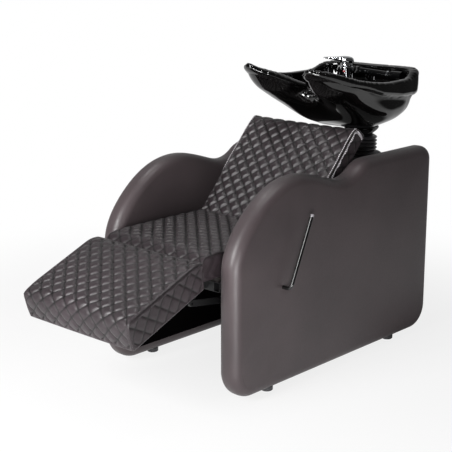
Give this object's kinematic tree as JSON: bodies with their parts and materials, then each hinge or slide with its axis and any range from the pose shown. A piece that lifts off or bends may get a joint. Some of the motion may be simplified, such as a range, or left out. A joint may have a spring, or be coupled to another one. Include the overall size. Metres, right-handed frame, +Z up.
{
  "type": "hair washing bed",
  "caption": "Hair washing bed: quilted seat, fixed backrest and hinged leg-rest between padded side panels, with a tilting basin on a column behind.",
  "frame": {"origin": "floor level at the axis of the basin column, the centre of the anchor bolt pattern under the base plate", "axes": "+Z up, -Y towards the sitter's feet, +X towards the sitter's left"},
  "size_m": [0.649, 1.5332, 0.9863],
  "materials": {
    "upholstery_leather": "satin",
    "cushion_leather": "satin",
    "plywood": "raw",
    "inner_panel": "matt",
    "black_steel": "satin",
    "zinc_steel": "zinc plated",
    "pin_steel": "bright",
    "black_rubber": "matt",
    "nylon": "matt",
    "black_glaze": "glossy glaze",
    "chrome": "polished",
    "black_plastic": "gloss",
    "pale_plastic": "satin",
    "mark_paint": "gloss",
    "pvc": "satin"
  },
  "bodies": {
    "chair": {"left_side_upholstery": "upholstery_leather", "right_side_upholstery": "upholstery_leather", "left_side_core": "plywood", "right_side_core": "plywood", "left_inner_board": "inner_panel", "right_inner_board": "inner_panel", "left_seat_rail": "black_steel", "right_seat_rail": "black_steel", "left_bearing_plate": "black_steel", "right_bearing_plate": "black_steel", "left_hinge_lug": "black_steel", "right_hinge_lug": "black_steel", "left_back_upright": "black_steel", "right_back_upright": "black_steel", "glide_feet": "black_plastic", "frame_bolts": "zinc_steel", "front_cross_tube": "black_steel", "rear_cross_tube": "black_steel", "seat_board": "plywood", "seat_cushion": "cushion_leather", "back_board": "plywood", "back_cushion": "cushion_leather", "back_cross_tube": "black_steel", "hinge_pins": "pin_steel", "lever_bush": "nylon", "base_plate": "black_steel", "base_cross_tube": "black_steel", "column_tube": "black_steel", "column_head": "black_steel", "column_bellows": "black_rubber", "tilt_pin": "pin_steel", "waste_pipe": "pvc", "waste_elbow": "pvc", "waste_clip": "black_plastic"},
    "legrest": {"legrest_cushion": "cushion_leather", "legrest_board": "plywood", "left_legrest_arm": "zinc_steel", "right_legrest_arm": "zinc_steel"},
    "lever": {"lever_bar": "black_steel", "lever_cap": "pale_plastic", "torsion_tube": "zinc_steel", "left_crank": "zinc_steel", "right_crank": "zinc_steel", "crank_pins": "pin_steel"},
    "links": {"left_link_bar": "zinc_steel", "right_link_bar": "zinc_steel"},
    "basin_head": {"basin": "black_glaze", "tilt_bracket": "black_steel", "basin_bolts": "zinc_steel", "drain_flange": "chrome", "mixer_body": "chrome", "mixer_mark": "mark_paint", "mixer_nut": "zinc_steel", "shower_elbow": "chrome"},
    "mixer_turn": {"mixer_spindle": "chrome"},
    "mixer_lever": {"mixer_handle": "chrome"},
    "hand_shower": {"shower_handle": "black_plastic", "shower_collar": "chrome"},
    "catcher": {"hair_catcher": "chrome"}
  },
  "joints": [
    {"name": "legrest_swing", "type": "hinge", "parent": "chair", "child": "legrest", "pos_m": [0, -1.045, 0.385], "axis": [1, 0, 0], "range_deg": [0, 62]},
    {"name": "lever_turn", "type": "hinge", "parent": "chair", "child": "lever", "pos_m": [0, -0.792, 0.347], "axis": [1, 0, 0], "range_deg": [0, 62]},
    {"name": "link_swing", "type": "hinge", "parent": "lever", "child": "links", "pos_m": [0, -0.8229, 0.29557], "axis": [1, 0, 0], "range_deg": [-62, 0]},
    {"name": "basin_tilt", "type": "hinge", "parent": "chair", "child": "basin_head", "pos_m": [0, 0, 0.682], "axis": [1, 0, 0], "range_deg": [-15, 5], "deforming": ["column_bellows"]},
    {"name": "mixer_turn", "type": "hinge", "parent": "basin_head", "child": "mixer_turn", "pos_m": [-0.05, -0.013, 0.952], "axis": [0, 0, 1], "range_deg": [-45, 45]},
    {"name": "mixer_lift", "type": "hinge", "parent": "mixer_turn", "child": "mixer_lever", "pos_m": [-0.05, -0.013, 0.955], "axis": [-0.6769, 0.7361, 0], "range_deg": [0, 20]},
    {"name": "shower_pull", "type": "slide", "parent": "basin_head", "child": "hand_shower", "axis": [-1, 0, 0], "range_m": [0, 0.05]},
    {"name": "catcher_lift", "type": "slide", "parent": "basin_head", "child": "catcher", "axis": [0, 0, 1], "range_m": [0, 0.03]}
  ],
  "couplings": [
    {"joint": "lever_turn", "follows": "legrest_swing", "ratio": 1},
    {"joint": "link_swing", "follows": "legrest_swing", "ratio": -1}
  ]
}
